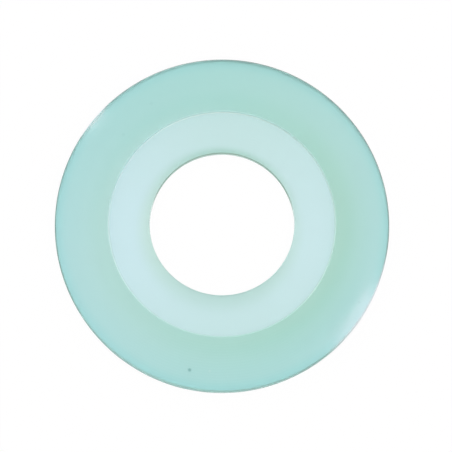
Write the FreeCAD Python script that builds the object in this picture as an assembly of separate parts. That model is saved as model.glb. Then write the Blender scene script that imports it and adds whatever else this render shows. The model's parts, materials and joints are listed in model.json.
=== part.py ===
"""A moulded silicone gasket: a flat ring with a thinner web round its bore.

The underside is one flat sealing face. The top has a broad flat land, and inside it a shallow round
recess, which takes the flange that clamps the ring. What is left under the recess is the web, and the
bore goes through the web. Towards the rim the land falls away in a slight shoulder, and the rim's wall
carries the fine ridge left where the two halves of the mould meet.

The whole ring is one section turned round the axis. The section is drawn in the XZ plane, where X is
the radius, as a closed loop of arcs, bevels and walls with straight runs between them.

Lengths are millimetres. The ring lies on its underside: the origin is on the bore's axis at the height
of that face, and +Z is the axis.
"""

import FreeCAD, Part
import os

# Driving sizes
outside_diameter = 63.0
recess_diameter = 42.7
bore_diameter = 27.2
thickness = 3.5
recess_depth = 1.3
shoulder_width = 4.0
shoulder_drop = 0.25
rim_top_radius = 0.4
rim_foot_bevel = 0.2
recess_lip_bevel = 0.15
recess_root_radius = 0.15
ridge_height = 0.06
ridge_width = 0.24

# Radii and heights that follow from them
rim_r = outside_diameter / 2
recess_r = recess_diameter / 2
bore_r = bore_diameter / 2
web_top_z = thickness - recess_depth
land_outer_r = max(rim_r - shoulder_width, recess_r + recess_lip_bevel)

UP = FreeCAD.Vector(0, 0, 1)
DOWN = FreeCAD.Vector(0, 0, -1)
OUTWARD = FreeCAD.Vector(1, 0, 0)
INWARD = FreeCAD.Vector(-1, 0, 0)
ORIGIN = FreeCAD.Vector(0, 0, 0)
FULL_TURN = 360
SAME_PLACE = 1e-6


def at(radius, height):
    """A point of the section."""
    return FreeCAD.Vector(radius, 0, height)


def arc_about(centre, start, end):
    """The shorter arc from start to end about its centre."""
    half_way = (start - centre) + (end - centre)
    half_way.normalize()
    return Part.Arc(start, centre + half_way * (start - centre).Length, end)


def rounded_corner(corner, back, onward, radius):
    """The quarter arc in a right-angled corner, between the runs that lead back and onward from it."""
    centre = corner + (back + onward) * radius
    return arc_about(centre, corner + back * radius, corner + onward * radius)


def bevelled_corner(corner, back, onward, width):
    """The flat across a right-angled corner, between the runs that lead back and onward from it."""
    return Part.LineSegment(corner + back * width, corner + onward * width)


def rim_edge_and_shoulder():
    """The rounded top edge of the rim, then the shoulder, which meets the flat land without a kink.

    The shoulder is an arc with its centre straight below the edge of the land. Carried on to the rim,
    it would end at its drop below the land. The edge's own arc touches it from inside, and touches the
    rim's wall.
    """
    width = rim_r - land_outer_r
    shoulder_radius = (width**2 + shoulder_drop**2) / (2 * shoulder_drop)
    shoulder_centre = at(land_outer_r, thickness - shoulder_radius)
    sideways = width - rim_top_radius
    upwards = ((shoulder_radius - rim_top_radius) ** 2 - sideways**2) ** 0.5
    edge_centre = shoulder_centre + at(sideways, upwards)

    towards_touch = edge_centre - shoulder_centre
    towards_touch.normalize()
    touch = shoulder_centre + towards_touch * shoulder_radius
    edge = arc_about(edge_centre, edge_centre + OUTWARD * rim_top_radius, touch)
    shoulder = arc_about(shoulder_centre, touch, at(land_outer_r, thickness))
    return edge, shoulder


def ridge_flanks(wall_bottom_z, wall_top_z):
    """The two flanks of the mould's ridge, which runs along the middle of the rim's straight wall."""
    middle_z = (wall_bottom_z + wall_top_z) / 2
    low = at(rim_r, middle_z - ridge_width / 2)
    peak = at(rim_r + ridge_height, middle_z)
    high = at(rim_r, middle_z + ridge_width / 2)
    return Part.LineSegment(low, peak), Part.LineSegment(peak, high)


def section():
    """The ring's section, from the wall of the bore along the underside, up the rim and back inward."""
    rim_edge, shoulder = rim_edge_and_shoulder()
    lower_flank, upper_flank = ridge_flanks(rim_foot_bevel, rim_edge.StartPoint.z)
    root_radius = min(recess_root_radius, recess_depth - recess_lip_bevel)
    outline = [
        Part.LineSegment(at(bore_r, web_top_z), at(bore_r, 0)),
        bevelled_corner(at(rim_r, 0), INWARD, UP, rim_foot_bevel),
        lower_flank,
        upper_flank,
        rim_edge,
        shoulder,
        bevelled_corner(at(recess_r, thickness), OUTWARD, DOWN, recess_lip_bevel),
        rounded_corner(at(recess_r, web_top_z), UP, INWARD, root_radius),
    ]
    edges = []
    for curve, following in zip(outline, outline[1:] + outline[:1]):
        edges.append(curve.toShape())
        if (following.StartPoint - curve.EndPoint).Length > SAME_PLACE:
            edges.append(Part.makeLine(curve.EndPoint, following.StartPoint))
    return Part.Wire(edges)


def sealing_ring():
    """The gasket, its section turned once round the axis."""
    return Part.Face(section()).revolve(ORIGIN, UP, FULL_TURN)


def main():
    os.makedirs("parts", exist_ok=True)
    ring = sealing_ring()
    ring.exportStep("parts/sealing_ring.step")
    box = ring.optimalBoundingBox()
    print(f"sealing_ring: {box.XLength:.2f} x {box.YLength:.2f} x {box.ZLength:.2f} mm")
    print(f"valid: {ring.isValid()}, solids: {len(ring.Solids)}, volume: {ring.Volume:.1f} cubic mm")


main()
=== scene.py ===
# %% [markdown]
# A moulded silicone gasket
#
# The object is one soft ring, pale aqua and slightly milky, photographed from almost straight above. It has
# no separate pieces, so this lesson makes one surface and gives it one finish. What makes it look like
# silicone is how light goes through it. The thin web round the bore is pale, the thicker land outside it is
# deeper, and the rim, where the eye looks into the most material, is deepest.

import json
import math

import bpy
import numpy as np
from mathutils import Matrix, Vector


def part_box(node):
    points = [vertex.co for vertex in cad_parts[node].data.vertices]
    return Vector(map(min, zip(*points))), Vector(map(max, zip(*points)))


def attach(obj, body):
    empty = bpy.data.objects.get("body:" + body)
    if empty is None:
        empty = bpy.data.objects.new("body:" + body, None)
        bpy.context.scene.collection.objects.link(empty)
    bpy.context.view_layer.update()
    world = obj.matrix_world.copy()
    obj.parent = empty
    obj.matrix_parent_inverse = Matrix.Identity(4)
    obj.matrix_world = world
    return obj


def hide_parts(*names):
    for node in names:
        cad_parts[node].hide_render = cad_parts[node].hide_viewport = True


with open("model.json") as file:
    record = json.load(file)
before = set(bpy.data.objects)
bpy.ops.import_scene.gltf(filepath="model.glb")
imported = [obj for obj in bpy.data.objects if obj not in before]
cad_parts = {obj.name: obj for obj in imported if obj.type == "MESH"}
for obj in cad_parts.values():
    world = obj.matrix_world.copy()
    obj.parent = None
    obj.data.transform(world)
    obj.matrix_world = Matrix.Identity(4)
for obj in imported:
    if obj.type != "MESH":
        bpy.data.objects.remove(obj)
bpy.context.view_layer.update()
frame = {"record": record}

# %% [markdown]
# Sizes from the frame
#
# The model of the construction already holds the sizes that matter, so they aren't typed again. The box of
# the node gives the rim and the thickness. The mounts in the record give the bore and the recess, because
# those are the places where other parts fit.

# %% Read the sizes
MM = 0.001
_, ring_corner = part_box("sealing_ring")
mounts = {mount["name"]: mount for mount in frame["record"]["mounts"]}

ridge_r = ring_corner[0]
thickness = ring_corner[2]
bore_r = mounts["bore"]["dims"]["r_mm"] * MM
recess_r = mounts["recess"]["dims"]["r_mm"] * MM
web_top = mounts["clamped_web"]["pos_m"][2]
ridge_height = 0.06 * MM
rim_r = ridge_r - ridge_height
print(f"rim {rim_r / MM:.2f}, recess {recess_r / MM:.2f}, bore {bore_r / MM:.2f} mm")
print(f"thickness {thickness / MM:.2f}, web {web_top / MM:.2f} mm")

# %% [markdown]
# The section
#
# A moulded ring is easiest to think of as its section, the outline that a cut through one side would show.
# Carried once round the axis, that outline is the whole surface. Here it is a list of straight runs and
# arcs in the plane of radius and height. A subdivided mesh could round the corners instead, but an arc says
# exactly how round each one is. Long runs get more points near their ends, so that smooth shading stays
# flat in the middle of a face and turns only at its corners.

# %% Runs and arcs
UP, DOWN, OUT, IN = np.array([[0, 1], [0, -1], [1, 0], [-1, 0]], dtype=float)


def run(start, end, count):
    """Points on a straight line, from start to end by half a cosine wave, so that they crowd at both."""
    share = (1 - np.cos(np.linspace(0, math.pi, count))) / 2
    return np.outer(1 - share, start) + np.outer(share, end)


def arc(centre, radius, first_degrees, last_degrees, count):
    """Points on a circle: the centre plus the radius times the cosine and sine of an even row of angles."""
    angle = np.radians(np.linspace(first_degrees, last_degrees, count))
    return np.asarray(centre) + radius * np.column_stack([np.cos(angle), np.sin(angle)])


def joined(*stretches):
    """The stretches end to end, each without its last point, which is the first of the next."""
    return np.concatenate([stretch[:-1] for stretch in stretches])


# %% [markdown]
# The shoulder near the rim is a long shallow arc that starts level with the land. Its circle has its centre
# straight below the edge of the land, so its radius follows from how wide it is and how far it drops. The
# rounded edge of the rim is a small circle inside that large one, and touches both it and the rim's wall.
# This is the part of the ring that catches the lamps, so it is worth getting right.

# %% The shoulder and the rim's edge
shoulder_width = 4.0 * MM
shoulder_drop = 0.25 * MM
rim_top_radius = 0.4 * MM
rim_foot_radius = 0.2 * MM

land_outer_r = rim_r - shoulder_width
shoulder_radius = (shoulder_width**2 + shoulder_drop**2) / (2 * shoulder_drop)
shoulder_centre = np.array([land_outer_r, thickness - shoulder_radius])
edge_sideways = shoulder_width - rim_top_radius
edge_upwards = math.sqrt((shoulder_radius - rim_top_radius) ** 2 - edge_sideways**2)
edge_centre = shoulder_centre + (edge_sideways, edge_upwards)
touch_degrees = math.degrees(math.atan2(edge_upwards, edge_sideways))
ridge_z = (rim_foot_radius + edge_centre[1]) / 2
print(f"the shoulder's radius is {shoulder_radius / MM:.1f} mm, and the ridge is {ridge_z / MM:.2f} mm up")

# %% [markdown]
# Silicone is moulded, not cut, so no edge is truly sharp. The lip and the root of the recess, the foot of
# the rim and both edges of the bore each get a small arc. The ridge round the middle of the rim is where
# the two halves of the mould meet.

# %% The whole section
lip_radius = 0.15 * MM
root_radius = 0.15 * MM
bore_edge_radius = 0.1 * MM
ridge_half_width = 0.12 * MM


def ring_section():
    """The closed outline, from the top of the bore's wall down it, outward below, up the rim and back."""
    foot = np.array([rim_r - rim_foot_radius, rim_foot_radius])
    lip = np.array([recess_r + lip_radius, thickness - lip_radius])
    root = np.array([recess_r - root_radius, web_top + root_radius])
    bore_low = np.array([bore_r + bore_edge_radius, bore_edge_radius])
    bore_high = np.array([bore_r + bore_edge_radius, web_top - bore_edge_radius])
    ridge_low = np.array([rim_r, ridge_z - ridge_half_width])
    ridge_peak = np.array([ridge_r, ridge_z])
    ridge_high = np.array([rim_r, ridge_z + ridge_half_width])
    return joined(
        run(bore_high + IN * bore_edge_radius, bore_low + IN * bore_edge_radius, 8),
        arc(bore_low, bore_edge_radius, 180, 270, 6),
        run(bore_low + DOWN * bore_edge_radius, foot + DOWN * rim_foot_radius, 22),
        arc(foot, rim_foot_radius, -90, 0, 9),
        run(foot + OUT * rim_foot_radius, ridge_low, 6),
        run(ridge_low, ridge_peak, 4),
        run(ridge_peak, ridge_high, 4),
        run(ridge_high, edge_centre + OUT * rim_top_radius, 6),
        arc(edge_centre, rim_top_radius, 0, touch_degrees, 15),
        arc(shoulder_centre, shoulder_radius, touch_degrees, 90, 16),
        run(shoulder_centre + UP * shoulder_radius, lip + UP * lip_radius, 16),
        arc(lip, lip_radius, 90, 180, 8),
        run(lip + IN * lip_radius, root + OUT * root_radius, 6),
        arc(root, root_radius, 0, -90, 10),
        run(root + DOWN * root_radius, bore_high + UP * bore_edge_radius, 20),
        arc(bore_high, bore_edge_radius, 90, 180, 6),
    )


section = ring_section()
print(len(section), "points round the section")

# %% [markdown]
# The surface
#
# Every point of the surface has two numbers: its place along the section and its angle round the axis. The
# whole grid is worked out at once as arrays. A soft ring is never quite true, so a few small errors go into
# it, none over a tenth of a millimetre. The rim is a little longer one way than the other, the bore is so
# the other way, and the two aren't quite on one centre. Parts of the rim lift off the floor, the top swells
# and sinks just enough to bend a reflection, and the mould's ridge is higher in some places than in others.

# %% Waves round the ring
STEPS_ROUND = 560
rim_oval = 0.08 * MM
bore_oval = -0.06 * MM
off_centre = 0.06 * MM
rim_lift = 0.04 * MM
top_swell = 0.012 * MM
ridge_wear = 0.55


def wave(angle, turns, phases):
    """The mean of several cosines of the angle, each with its own number of turns and its own phase."""
    return sum(np.cos(turn * angle + phase) for turn, phase in zip(turns, phases)) / len(turns)


def ring_grid(outline, steps):
    """Points of the ring: radius times the cosine and sine of the angle, and the section's height.

    The radius loses the oval times the cosine of twice the angle. The oval and the shift of the centre both
    go evenly from their value at the bore to that at the rim. The height gains the lift, which grows with
    the square of the radius, and the swell, which grows with the height itself and turns with the radius.
    Where the radius passes the rim, the part that stands out, the ridge, is cut down by its wear.
    """
    angle = np.arange(steps) * (2 * math.pi / steps)
    radius = np.repeat(outline[:, :1], steps, axis=1)
    height = np.repeat(outline[:, 1:], steps, axis=1)
    lift = rim_lift * (1 + wave(angle, (2, 3), (1.3, 0.4))) / 2
    swell = top_swell * wave(angle + radius / rim_r, (5, 8, 13), (0.5, 2.9, 1.1))
    height = height + lift * (radius / rim_r) ** 2 + swell * height / thickness
    left_of_ridge = 1 - ridge_wear * (1 + wave(angle, (5, 13, 31), (0.2, 2.0, 4.1))) / 2
    radius = np.where(radius > rim_r, rim_r + (radius - rim_r) * left_of_ridge, radius)
    way_out = (radius - bore_r) / (rim_r - bore_r)
    radius = radius - (bore_oval + (rim_oval - bore_oval) * way_out) * np.cos(2 * angle)
    shift = off_centre * (1 - 2 * way_out)
    return np.stack([radius * np.cos(angle), radius * np.sin(angle) + shift, height], axis=-1)


grid = ring_grid(section, STEPS_ROUND)
print("the grid is", grid.shape[0], "by", grid.shape[1], "points")

# %% [markdown]
# A mesh needs faces as well as points. The grid closes on itself both ways, so each cell takes its own
# point, its neighbours in the next row and column, and the one across, in the order that makes the face
# look outward. Arrays go into the mesh whole, which is far quicker than one vertex at a time.

# %% Make the ring
def closed_faces(rows, columns):
    """Four corners for each cell of a grid that closes on itself both ways, in the order that faces out."""
    row, column = np.meshgrid(np.arange(rows), np.arange(columns), indexing="ij")
    next_row = (row + 1) % rows
    next_column = (column + 1) % columns
    corners = [(row, column), (row, next_column), (next_row, next_column), (next_row, column)]
    return np.stack([line * columns + along_it for line, along_it in corners], axis=-1).reshape(-1, 4)


def surface(name, points, faces):
    """A mesh object from arrays of points and of four-cornered faces, shaded smooth."""
    mesh = bpy.data.meshes.new(name)
    mesh.vertices.add(len(points))
    mesh.vertices.foreach_set("co", points.astype(np.float32).ravel())
    mesh.loops.add(faces.size)
    mesh.loops.foreach_set("vertex_index", faces.astype(np.int32).ravel())
    mesh.polygons.add(len(faces))
    mesh.polygons.foreach_set("loop_start", np.arange(0, faces.size, 4, dtype=np.int32))
    mesh.polygons.foreach_set("use_smooth", np.ones(len(faces), dtype=bool))
    mesh.update(calc_edges=True)
    mesh.validate()
    piece = bpy.data.objects.new(name, mesh)
    bpy.context.scene.collection.objects.link(piece)
    return piece


ring = surface("gasket_ring", grid.reshape(-1, 3), closed_faces(len(section), STEPS_ROUND))
print(f"the ring has {2 * len(ring.data.polygons)} triangles")

# %% [markdown]
# The ring takes the place of the plain solid from the frame. That solid has the same shape with fewer
# facets, and stays hidden in the frame for whatever needs its collision.

# %% Put it in the frame
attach(ring, "root")
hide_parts("sealing_ring")
print("gasket_ring rides on root and stands for sealing_ring")

# %% [markdown]
# Writing a finish as sums
#
# A finish is a network of nodes, but it is easier to read as arithmetic. The class below holds one output
# of a node, and its operators add the Math node that the sign stands for. A number may stand on either side
# of the sign, as in 1 - mask.

# %% Signals
class Signal:
    """One output of a node, which can be added, multiplied and so on like a number."""

    def __init__(self, finish, socket):
        self.finish = finish
        self.socket = socket

    def math(self, operation, first, second=0.0):
        return self.finish.node("ShaderNodeMath", {"operation": operation}, {0: first, 1: second})

    def __add__(self, other):
        return self.math("ADD", self, other)

    def __radd__(self, other):
        return self.math("ADD", other, self)

    def __sub__(self, other):
        return self.math("SUBTRACT", self, other)

    def __rsub__(self, other):
        return self.math("SUBTRACT", other, self)

    def __mul__(self, other):
        return self.math("MULTIPLY", self, other)

    def __rmul__(self, other):
        return self.math("MULTIPLY", other, self)

    def __truediv__(self, other):
        return self.math("DIVIDE", self, other)

    def __rtruediv__(self, other):
        return self.math("DIVIDE", other, self)

    def __pow__(self, other):
        return self.math("POWER", self, other)

    def __rpow__(self, other):
        return self.math("POWER", other, self)

    def sine(self):
        return self.math("SINE", self)


# %% [markdown]
# The network itself is a second class. One of its methods adds any kind of node, and the others are short
# names for what comes up often. Colours are mixed by a node of their own, because a Math node would turn
# them grey. They are written as a screen shows them, and a formula makes light of them.

# %% Finishes
SILICONE_IOR = 1.41
WHITE = (1.0, 1.0, 1.0, 1.0)


class Finish:
    """The network of a material or of the world, built up node by node."""

    def __init__(self, owner):
        self.owner = owner
        self.owner.use_nodes = True
        self.tree = owner.node_tree
        self.tree.nodes.clear()

    def node(self, kind, settings=None, inputs=None, output=0):
        """Adds a node. Settings are made first, then the values or links of sockets, by name or place."""
        node = self.tree.nodes.new(kind)
        for key, value in (settings or {}).items():
            setattr(node, key, value)
        for key, value in (inputs or {}).items():
            socket = self.pick(node.inputs, key)
            if isinstance(value, Signal):
                self.tree.links.new(value.socket, socket)
            else:
                socket.default_value = value
        return Signal(self, self.pick(node.outputs, output)) if len(node.outputs) else None

    def pick(self, sockets, key):
        """A socket by its place or name, or by its identifier where several sockets share a name."""
        if isinstance(key, int):
            return sockets[key]
        by_identifier = [socket for socket in sockets if socket.identifier == key]
        return by_identifier[0] if by_identifier else sockets[key]

    def step(self, value, low, high):
        """0 below low and 1 above high, with a smooth rise between. It falls where low is above high."""
        ends = {"Value": value, "From Min": low, "From Max": high}
        return self.node("ShaderNodeMapRange", {"interpolation_type": "SMOOTHSTEP"}, ends)

    def mix(self, share, one, other):
        """The colour that is one where the share is 0 and the other where it is 1."""
        inputs = {"Factor_Float": share, "A_Color": one, "B_Color": other}
        return self.node("ShaderNodeMix", {"data_type": "RGBA"}, inputs, "Result_Color")

    def blend(self, operation, one, other):
        """Two colours multiplied or divided, red by red, green by green and blue by blue."""
        return self.node("ShaderNodeVectorMath", {"operation": operation}, {0: one, 1: other})

    def noise(self, place, per_metre, detail):
        """Clouds from 0 to 1, with so many to the metre."""
        inputs = {"Vector": place, "Scale": per_metre, "Detail": detail}
        return self.node("ShaderNodeTexNoise", None, inputs, "Fac")

    def rubber(self, colour, settings):
        """Rubber in one colour, with the other settings of its shader."""
        inputs = {"Base Color": colour, "IOR": SILICONE_IOR, **settings}
        return self.node("ShaderNodeBsdfPrincipled", None, inputs)

    def finished(self, shader, piece):
        """Ends a material's network in its shader and puts the material on a piece."""
        self.node("ShaderNodeOutputMaterial", None, {"Surface": shader})
        piece.data.materials.append(self.owner)
        print(f"{self.owner.name} has {len(self.tree.nodes)} nodes")


def paint(red, green, blue):
    """A colour as a screen shows it, from 0 to 255, made into the light that it stands for."""
    screen = np.array([red, green, blue]) / 255
    light = np.where(screen <= 0.04045, screen / 12.92, ((screen + 0.055) / 1.055) ** 2.4)
    return (*light.tolist(), 1.0)


# %% [markdown]
# Where on the ring
#
# The finish has to know where it is. The object's own coordinates give that in metres, and they stay with
# the ring wherever the camera goes. From them come the radius and the height in millimetres, and the cosine
# and sine of the angle round the ring. What changes round the ring either goes evenly from one side to
# the other or keeps to a short stretch, and there is a helper for each. Two more shares have two ends: one
# is full on the left and on the right, and one at the back left and the front right, where the lamps are.
# Azimuths are in degrees: 0 is the right of the ring, 90 its back, 180 its left and 270 its front.

# %% Places for the finish
silicone = Finish(bpy.data.materials.new("aqua_silicone"))
place = silicone.node("ShaderNodeTexCoord", output="Object")
across = silicone.node("ShaderNodeSeparateXYZ", None, {0: place}, "X") / MM
along = silicone.node("ShaderNodeSeparateXYZ", None, {0: place}, "Y") / MM
height = silicone.node("ShaderNodeSeparateXYZ", None, {0: place}, "Z") / MM
radius = (across * across + along * along) ** 0.5
cosine, sine = across / radius, along / radius


def facing(azimuth):
    """The cosine of the angle between a place on the ring and an azimuth."""
    return cosine * math.cos(math.radians(azimuth)) + sine * math.sin(math.radians(azimuth))


def towards(azimuth):
    """1 at an azimuth and 0 across the ring from it: half of one plus the cosine of the angle between."""
    return 0.5 + 0.5 * facing(azimuth)


def stretch(azimuth, none_past, full_within):
    """1 near an azimuth and 0 further from it, with a smooth rise between two angles in degrees."""
    low, high = math.cos(math.radians(none_past)), math.cos(math.radians(full_within))
    return silicone.step(facing(azimuth), low, high)


at_back, at_left_front, at_left_back = towards(90), towards(210), towards(167)
at_sides = cosine * cosine
at_lamps = 0.5 - cosine * sine
bore_mm, recess_mm, rim_mm = bore_r / MM, recess_r / MM, rim_r / MM
web_mm, top_mm = web_top / MM, thickness / MM
print("the finish knows its place from", len(silicone.tree.nodes), "nodes")

# %% [markdown]
# The colour follows the thickness
#
# Tinted silicone takes a little of each colour of light for every millimetre that the light travels. A
# volume that absorbs would do that by itself, but it costs many samples and most viewers drop it. So the
# colour is painted zone by zone, from the bore outward, and each zone fades into the next. Light also
# comes in more from the left and right than from the front and back, so each zone has two colours or more,
# which are painted light and shade. The web is pale. Along the bore it is deeper, a band of painted shade
# that is narrow at the back and wide at the front.

# %% Zones of the web
def tone(share, plain, other):
    """The plain colour where the share is 0 and the other where it is 1, both as a screen shows them."""
    return silicone.mix(share, paint(*plain), paint(*other))


def zone(start, end, inside, outside):
    """Changes from the colour inside to the one outside between two radii."""
    return silicone.mix(silicone.step(radius, start, end), inside, outside)


# Painted shade: the deeper band along the bore. Its colours round the ring are painted light and shade.
bore_shade_front_and_back = tone(at_back, (187, 225, 218), (169, 216, 204))
bore_shade_sides = tone(at_left_front, (200, 234, 231), (199, 233, 223))
bore_edge_shade = silicone.mix(at_sides, bore_shade_front_and_back, bore_shade_sides)
web = tone(at_sides, (201, 235, 234), (206, 238, 241))
bore_shade_width = 2.9 - 1.3 * facing(67)
web_tones = zone(bore_mm, bore_mm + bore_shade_width, bore_edge_shade, web)
print(f"the web's zones go from {bore_mm:.2f} to {recess_mm:.2f} mm")

# %% [markdown]
# The land is greenest next to the step and bluest at the rim. On the diagonal from the back left to the
# front right, which the lamps lie on, it is painted deeper, because their light is added to it there.

# %% Zones of the land
UNTINTED = (1.0, 1.0, 1.0)


def tinted(colour, share, plain, other):
    """The colour times three factors, which are the plain ones where the share is 0 and the others at 1."""
    return silicone.blend("MULTIPLY", colour, silicone.mix(share, (*plain, 1.0), (*other, 1.0)))


# Painted light and shade: the land's colours that change round the ring.
green_front_and_back = tone(at_left_back, (170, 223, 210), (178, 226, 219))
green_sides = tone(at_left_back, (175, 223, 210), (183, 227, 220))
green = silicone.mix(at_sides, green_front_and_back, green_sides)
green = tinted(green, at_back, (0.985, 0.982, 0.97), (1.0, 1.0, 1.025))
land = tone(at_sides, (173, 224, 219), (178, 225, 223))
rim_band = tone(at_sides, (160, 221, 218), (166, 224, 223))

green_until, land_from = recess_mm + 1.0, rim_mm - 2.0
land_until, rim_band_from = rim_mm - 2.6, rim_mm - 0.3
land_tones = zone(green_until, land_from, green, land)
land_tones = zone(land_until, rim_band_from, land_tones, rim_band)
lamplit = at_lamps * silicone.step(radius, recess_mm, recess_mm + 3.0)
land_tones = tinted(land_tones, lamplit, (1.015, 1.0, 1.0), (0.935, 0.98, 0.975))
print(f"the land's zones go from {recess_mm:.2f} to {rim_mm:.2f} mm")

# %% [markdown]
# The step between web and land is where the colour changes most. The eye looks at it slightly from the
# front. At the back it sees the recess's wall, so the change is narrow and lies just outside the wall. In
# front the wall is hidden behind the lip, and light from both sides of it softens the change. Last comes
# painted light over the whole ring: the left, where more light comes from, is a trace paler and bluer.

# %% From the web to the land
step_mm = recess_mm + 0.02 + 0.07 * sine - 0.10 * at_sides**2
step_softness = 0.38 - 0.21 * at_back
looks = zone(step_mm - step_softness, step_mm + step_softness, web_tones, land_tones)
# Painted light: the left a trace paler and bluer.
looks = tinted(looks, at_left_front, (0.987, 0.994, 0.98), (1.013, 1.006, 1.02))
print("the colours take", len(silicone.tree.nodes), "nodes so far")

# %% [markdown]
# The light that comes up through the ring is tinted at both faces, each time by the square root of the
# colour painted there. The underside is flat and has no step, so its colour changes slowly, under the land.
# The top makes up the difference: it is painted with what the zones ask for, squared and divided by the
# colour below.

# %% The colours of the two faces
below = zone(recess_mm - 1.0, recess_mm + 5.0, web_tones, land_tones)
above = silicone.blend("DIVIDE", silicone.blend("MULTIPLY", looks, looks), below)
upper_part = silicone.step(height, 0.5, 1.0)
colour = silicone.mix(upper_part, below, above)
print("with the two faces there are", len(silicone.tree.nodes), "nodes")

# %% [markdown]
# The walls of the bore and the recess
#
# Through a flat face the eye sees the white below. Into a wall it looks along the silicone, and so much of
# it scatters the light that nothing can be made out. Such a wall gets a milky share: that much of its
# shader is a plain opaque surface. The bore's wall has it at the back, where its dark colour is painted
# shade that shows as a thin grey-green line. There its lower part is left clear, towards the sides only
# its lower edge, and in front all of it, because there the wall is seen through the web and would stain it.

# %% The bore's milky wall
milky_at_back = silicone.step(sine - 0.13 * at_left_front, -0.1, 0.45)
milky_from = 1.6 * sine - 0.8
milky_upper_part = silicone.step(height, milky_from, milky_from + 0.5)
bore_edge_mm = bore_mm + 0.04 + 0.09 * at_sides**3
milky_to_edge = silicone.step(radius, bore_edge_mm + 0.06, bore_edge_mm)
bore_wall = milky_at_back * milky_upper_part * milky_to_edge
# Painted shade: the dark grey-green of the bore's wall.
bore_wall_shade = tone(at_left_front, (150, 183, 169), (144, 179, 163))
print(f"the bore's wall is {web_mm:.1f} mm high")

# %% [markdown]
# The recess's wall is milky all round. At its root it is nearly as pale as the web and at its lip nearly as
# deep as the land. It is a little lighter than both, to make up for the shade in its corner, but less so
# where it faces the lamps on the right.

# %% The recess's milky wall
above_web = silicone.step(height, web_mm + 0.02, web_mm + 0.08)
past_root = silicone.step(radius, recess_mm - 0.16, recess_mm - 0.08)
before_lip = silicone.step(radius, recess_mm + 0.11, recess_mm + 0.05)
recess_wall = above_web * past_root * before_lip
up_wall = silicone.step(height, web_mm, top_mm)
recess_colour = silicone.mix(0.85 * up_wall, web_tones, land_tones)
recess_colour = tinted(recess_colour, up_wall, (1.38, 1.19, 1.14), (1.18, 1.10, 1.10))
faces_lamps = stretch(147, 37, 0)
recess_colour = tinted(recess_colour, faces_lamps, UNTINTED, (0.86, 0.95, 0.95))
print(f"the recess's wall is {top_mm - web_mm:.1f} mm high")

# %% [markdown]
# The rim
#
# On the rounded edge the eye looks into the most silicone, so it has the deepest colour of the ring. Its
# line is also painted shade, darkest and greyest at the back and on the right, and a little paler at the
# front left. Where the lamps shine into the edge, a painted highlight takes its place, on the right along a
# good part of the rim and on the left in one short stretch. The straight wall below the edge is plain. At
# the back, part of the line lies on the top just inside the edge, so that is painted as well: painted shade
# on the right and painted light on the left.

# %% The rim's edge and wall
edge_from = rim_mm - 0.32 - 0.12 * at_sides
edge_full = rim_mm - 0.10 - 0.06 * at_sides
rim_wall = silicone.step(radius, edge_from, edge_full)
# Painted shade: the dark line on the rounded edge, paler at the front left.
rim_shade_at_back = tone(silicone.step(cosine, 0.1, -0.35), (184, 195, 190), (208, 215, 211))
rim_shade_front_and_back = silicone.mix(at_back, paint(174, 212, 205), rim_shade_at_back)
rim_shade_sides = tone(at_left_front, (138, 149, 140), (140, 172, 160))
rim_colour = silicone.mix(at_sides, rim_shade_front_and_back, rim_shade_sides)
rim_shade_paler_in_front = 0.3 * stretch(235, 32, 11.5)
rim_colour = silicone.mix(rim_shade_paler_in_front, rim_colour, paint(205, 240, 235))

# Painted highlights: the rounded edge is pale where the lamps shine into it, on the right and on the left.
right_painted_highlight, left_painted_highlight = stretch(-31, 22.5, 0), stretch(141, 8.1, 2.6)
rim_colour = silicone.mix(right_painted_highlight + left_painted_highlight, rim_colour, paint(252, 252, 252))
straight_until, painted_highlight_from, rounded_from = 2.7, 2.85, 3.0
edge_painted_highlight = rim_wall * silicone.step(height, painted_highlight_from, rounded_from) * (0.5 * right_painted_highlight + left_painted_highlight)
on_edge = silicone.step(height, straight_until, rounded_from)
rim_colour = silicone.mix(on_edge, paint(154, 202, 192), rim_colour)

# Painted shade on the top just inside the edge at the back right, and painted light at the back left.
beside_edge = silicone.step(radius, rim_mm - 0.75, rim_mm - 0.45)
painted_shade_back_right, painted_light_back_left = beside_edge * stretch(54, 53, 18), beside_edge * stretch(115, 23, 8)
colour = tinted(colour, painted_shade_back_right, UNTINTED, (1.0, 0.905, 0.915))
colour = tinted(colour, painted_light_back_left, UNTINTED, (1.15, 1.05, 1.07))
colour = silicone.mix(rim_wall, colour, rim_colour)
print("the rim's straight wall ends", round(edge_centre[1] / MM, 2), "mm up")

# %% [markdown]
# Marks
#
# The real ring has one dark speck in the land and a few that hardly show, which are dust or bubbles that
# were caught in the mould. Each is a soft round spot with a place, a size and a strength, and one more is
# pale. Milky clouds a few millimetres wide break up the colour a little, as they do in any translucent
# rubber.

# %% Specks and clouds
SPECK_CORE = 0.25
DARK_SPECKS = (
    (-6.0, -27.5, 0.46, 1.0),
    (25.55, -14.9, 0.45, 0.19),
    (-13.4, 22.85, 0.50, 0.15),
    (-18.65, 16.85, 0.50, 0.16),
)
cloud = silicone.noise(place, 160.0, 4.0)


def speck(x, y, size):
    """0 past a distance in millimetres from a place, and 1 in the core, a set share of that distance."""
    distance = ((across - x) * (across - x) + (along - y) * (along - y)) ** 0.5
    return silicone.step(distance, size, size * SPECK_CORE)


for x, y, size, strength in DARK_SPECKS:
    colour = silicone.mix(speck(x, y, size) * strength, colour, paint(104, 171, 166))
pale_speck = 0.3 * speck(-2.25, -27.7, 0.4)
colour = silicone.mix(pale_speck, colour, paint(205, 235, 230))
colour = silicone.mix(0.10 * cloud, colour, paint(205, 232, 226))
print(len(DARK_SPECKS), "dark specks and a pale one")

# %% [markdown]
# The skin
#
# The mould was turned on a lathe and polished, so its faces leave rings that are too fine to feel, and
# under them a grain. Both are bump, since nothing so small would show in the outline. On the land in front
# the rings also tint the rubber very slightly.

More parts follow.
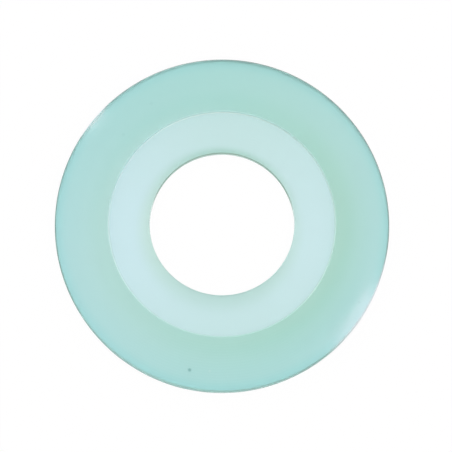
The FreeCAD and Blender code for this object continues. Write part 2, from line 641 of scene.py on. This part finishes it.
# %% Grain and turning rings
radians_per_mm = 12.0
skin_depth = 0.01 * MM
grain = silicone.noise(place, 2600.0, 3.0)
ring_wander = silicone.noise(place, 60.0, 1.0)
turning = (radius * radians_per_mm + ring_wander * 3.0).sine()
front_land = silicone.step(sine, -0.6, -0.9) * silicone.step(radius, recess_mm + 0.3, recess_mm + 1.5)
ring_tint = 0.5 + 0.5 * front_land * turning
colour = tinted(colour, ring_tint, (0.984, 0.99, 0.99), (1.016, 1.01, 1.01))
bump = {"Strength": 0.25, "Distance": skin_depth, "Height": grain + 0.35 * turning}
skin_normal = silicone.node("ShaderNodeBump", None, bump, "Normal")
rings_per_mm = radians_per_mm / (2 * math.pi)
print(f"{rings_per_mm:.1f} rings to the millimetre, and a bump about {skin_depth / MM:.2f} mm deep")

# %% [markdown]
# The body of the rubber blurs what is seen through it. Its skin is smoother than that, which a coat says
# with its own roughness, and a few patches of the skin are dulled by handling. The rim's wall is duller
# than the faces, as the mould was polished least where its halves meet. The clear rubber and the milky one
# are two shaders, mixed by the milky shares of the two walls and by the painted highlight on the rim's
# edge.

# %% Gloss and the whole finish
smudge = silicone.noise(place, 90.0, 2.0)
skin = {
    "Roughness": 0.36 + 0.10 * cloud + 0.06 * grain + 0.55 * rim_wall,
    "Normal": skin_normal,
    "Coat Weight": 0.70 + 0.3 * smudge,
    "Coat Roughness": 0.12,
    "Coat IOR": SILICONE_IOR,
}
clear = silicone.rubber(colour, {"Transmission Weight": 0.85, **skin})
milky_colour = silicone.mix(bore_wall, recess_colour, bore_wall_shade)
# Painted highlight: on the rim's edge the milky rubber is pale.
milky_colour = silicone.mix(rim_wall, milky_colour, paint(216, 232, 234))
milky = silicone.rubber(milky_colour, {"Roughness": 0.7, "Specular IOR Level": 0.1})
milky_share = bore_wall + recess_wall + edge_painted_highlight
rubber = silicone.node("ShaderNodeMixShader", None, {0: milky_share, 1: clear, 2: milky})
silicone.finished(rubber, ring)

# %% [markdown]
# The floor
#
# The photograph has a plain white ground. Light alone can't make the floor that white without burning the
# ring, so most of the floor glows, but only for the eye, for reflections and for what is seen through the
# ring. The rest of it is plain matte paper, which keeps a faint shadow where the ring lies.

# %% Make the floor
FLOOR_REACH = 4.0
FLOOR_DEPTH = 0.02 * MM
glow_for_eye = 0.975
matte_white = (0.92, 0.92, 0.92, 1.0)
floor_corners = np.array([[-1, -1, 0], [1, -1, 0], [1, 1, 0], [-1, 1, 0]]) * FLOOR_REACH
floor = surface("studio_floor", floor_corners - (0, 0, FLOOR_DEPTH), np.array([[0, 1, 2, 3]]))

paper = Finish(bpy.data.materials.new("white_paper"))
seen = paper.node("ShaderNodeLightPath", output="Is Camera Ray")
mirrored = paper.node("ShaderNodeLightPath", output="Is Glossy Ray")
through = paper.node("ShaderNodeLightPath", output="Is Transmission Ray")
matte = paper.node("ShaderNodeBsdfDiffuse", None, {"Color": matte_white})
glow = paper.node("ShaderNodeEmission", None, {"Color": WHITE, "Strength": 1.0})
glow_share = seen * glow_for_eye + mirrored + through
ground = paper.node("ShaderNodeMixShader", None, {0: glow_share, 1: matte, 2: glow})
paper.finished(ground, floor)

# %% [markdown]
# The light
#
# A ring of pale rubber on white needs soft light from everywhere, so most of it is the world. The eye,
# reflections and what is seen through the ring find it pure white, like the floor. What falls on matte
# surfaces is a little weaker, and lamps make up the rest.

# %% The world
world_for_matte = 0.91
studio = Finish(bpy.data.worlds.new("studio"))
bpy.context.scene.world = studio.owner
on_matte = studio.node("ShaderNodeLightPath", output="Is Diffuse Ray")
strength = 1.0 - (1.0 - world_for_matte) * on_matte
background = studio.node("ShaderNodeBackground", None, {"Color": WHITE, "Strength": strength})
studio.node("ShaderNodeOutputWorld", None, {"Surface": background})
print("the world is white, and", world_for_matte, "on matte surfaces")

# %% [markdown]
# The camera
#
# The photograph looks down on the ring from slightly in front of it: the far wall of the bore shows, and
# the near one doesn't. The lens is long, so the ring keeps its shape, and the aim is a little off the axis
# because the ring isn't in the middle of the picture.

# %% Place the camera
camera_tilt = math.radians(8.0)
camera_distance = 0.32
pixels_per_metre = 5274.0
picture_pixels = 452
sensor_mm = 36.0
aim = Vector((0.00075, -0.00008, 0.0))

lens = bpy.data.cameras.new("camera")
lens.sensor_width = sensor_mm
lens.lens = sensor_mm * pixels_per_metre * camera_distance / picture_pixels
camera = bpy.data.objects.new("camera", lens)
backward = Vector((0, -math.sin(camera_tilt), math.cos(camera_tilt)))
eye = aim + backward * camera_distance
turned = backward.to_track_quat("Z", "Y").to_matrix().to_4x4()
camera.matrix_world = Matrix.Translation(eye) @ turned
bpy.context.scene.collection.objects.link(camera)
bpy.context.scene.camera = camera
bpy.context.scene.view_settings.view_transform = "Standard"
print(f"the lens is {lens.lens:.0f} mm, {camera_distance / MM:.0f} mm away")

# %% [markdown]
# Where a lamp shows
#
# A highlight lies where the surface leans half way between the eye and the lamp. On this ring only the
# shoulder and the rounded edge lean at all. So a lamp isn't placed by trial: it is enough to say where on
# the ring it should shine, and the mirror law gives the place in the room.

# %% The mirror law
LAMP_REACH = 0.46
right_azimuth, left_azimuth = -34.5, 141
shoulder_end_lean = 90 - touch_degrees


def lamp_place(azimuth, lean):
    """Where a lamp has to be to shine at an angle round the ring, where the top leans outward so far.

    The lean is found on the shoulder, or past its end on the rounded edge. The direction of the eye from
    there is turned over about the normal, and followed for the reach of the lamps.
    """
    azimuth, lean = math.radians(azimuth), math.radians(lean)
    outward = Vector((math.cos(azimuth), math.sin(azimuth), 0))
    normal = outward * math.sin(lean) + Vector((0, 0, math.cos(lean)))
    if lean < math.radians(shoulder_end_lean):
        centre, arc_radius = shoulder_centre, shoulder_radius
    else:
        centre, arc_radius = edge_centre, rim_top_radius
    point = outward * centre[0] + Vector((0, 0, centre[1])) + normal * arc_radius
    to_eye = (eye - point).normalized()
    return point + (2 * to_eye.dot(normal) * normal - to_eye) * LAMP_REACH


example = lamp_place(right_azimuth, shoulder_end_lean)
print("a lamp for the end of the shoulder on the right is at", example.to_tuple(2))

# %% [markdown]
# The highlights of the ring are a broad one on its right, wider at the rim than on the shoulder, and a
# narrow one on its left. Each is a fan of panels, one for every few degrees of lean. Their brightness is
# told against white paper. They are pinkish, because the silicone takes the red out again. None stands
# lower than a lean of 20 degrees asks for, or it would glare in the flat faces as soon as the ring is seen
# from the side.

# %% The lamps
def panel(name, start, end, width, brightness, colour):
    """A panel of light between two points, turned to face the ring. Its power is pi x brightness x area."""
    middle = (start + end) / 2
    lengthways = (end - start).normalized()
    away = (middle - lengthways * middle.dot(lengthways)).normalized()
    lamp = bpy.data.lights.new(name, "AREA")
    lamp.shape = "RECTANGLE"
    lamp.size = (end - start).length
    lamp.size_y = width
    lamp.energy = math.pi * brightness * lamp.size * lamp.size_y
    lamp.color = colour
    light = bpy.data.objects.new(name, lamp)
    turn = Matrix([lengthways, away.cross(lengthways), away]).transposed()
    light.matrix_world = Matrix.Translation(middle) @ turn.to_4x4()
    light.visible_camera = False
    bpy.context.scene.collection.objects.link(light)
    print(f"{name}: {lamp.size:.3f} by {width:.3f} m, {lamp.energy:.3f} W")


def fan(name, azimuth, colour, panels):
    """Panels that each shine between two leans, over a spread of azimuth, with a brightness."""
    for first, last, spread, brightness in panels:
        borders = (azimuth - spread / 2, azimuth + spread / 2)
        sides = [[lamp_place(border, lean) for border in borders] for lean in (first, last)]
        start, end = [(one + other) / 2 for one, other in sides]
        width = sum((one - other).length for one, other in sides) / 2
        panel(f"{name}_{first}", start, end, width, brightness, colour)


RIGHT_PANELS = (
    (2.6, 3.6, 18, 3.2),
    (3.6, 4.6, 20, 5.5),
    (4.6, 6.2, 23, 7.5),
    (6.2, 9, 26, 10.5),
    (9, 20, 26, 4.5),
)
LEFT_PANELS = (
    (3.0, 4.4, 8, 2.5),
    (4.4, 5.4, 7, 6.5),
    (5.4, 7, 7, 12.5),
    (7, 12, 8, 14.0),
    (12, 18, 8, 10.0),
)
fan("right", right_azimuth, (1.0, 0.56, 0.76), RIGHT_PANELS)
fan("left", left_azimuth, (1.0, 0.7, 0.75), LEFT_PANELS)
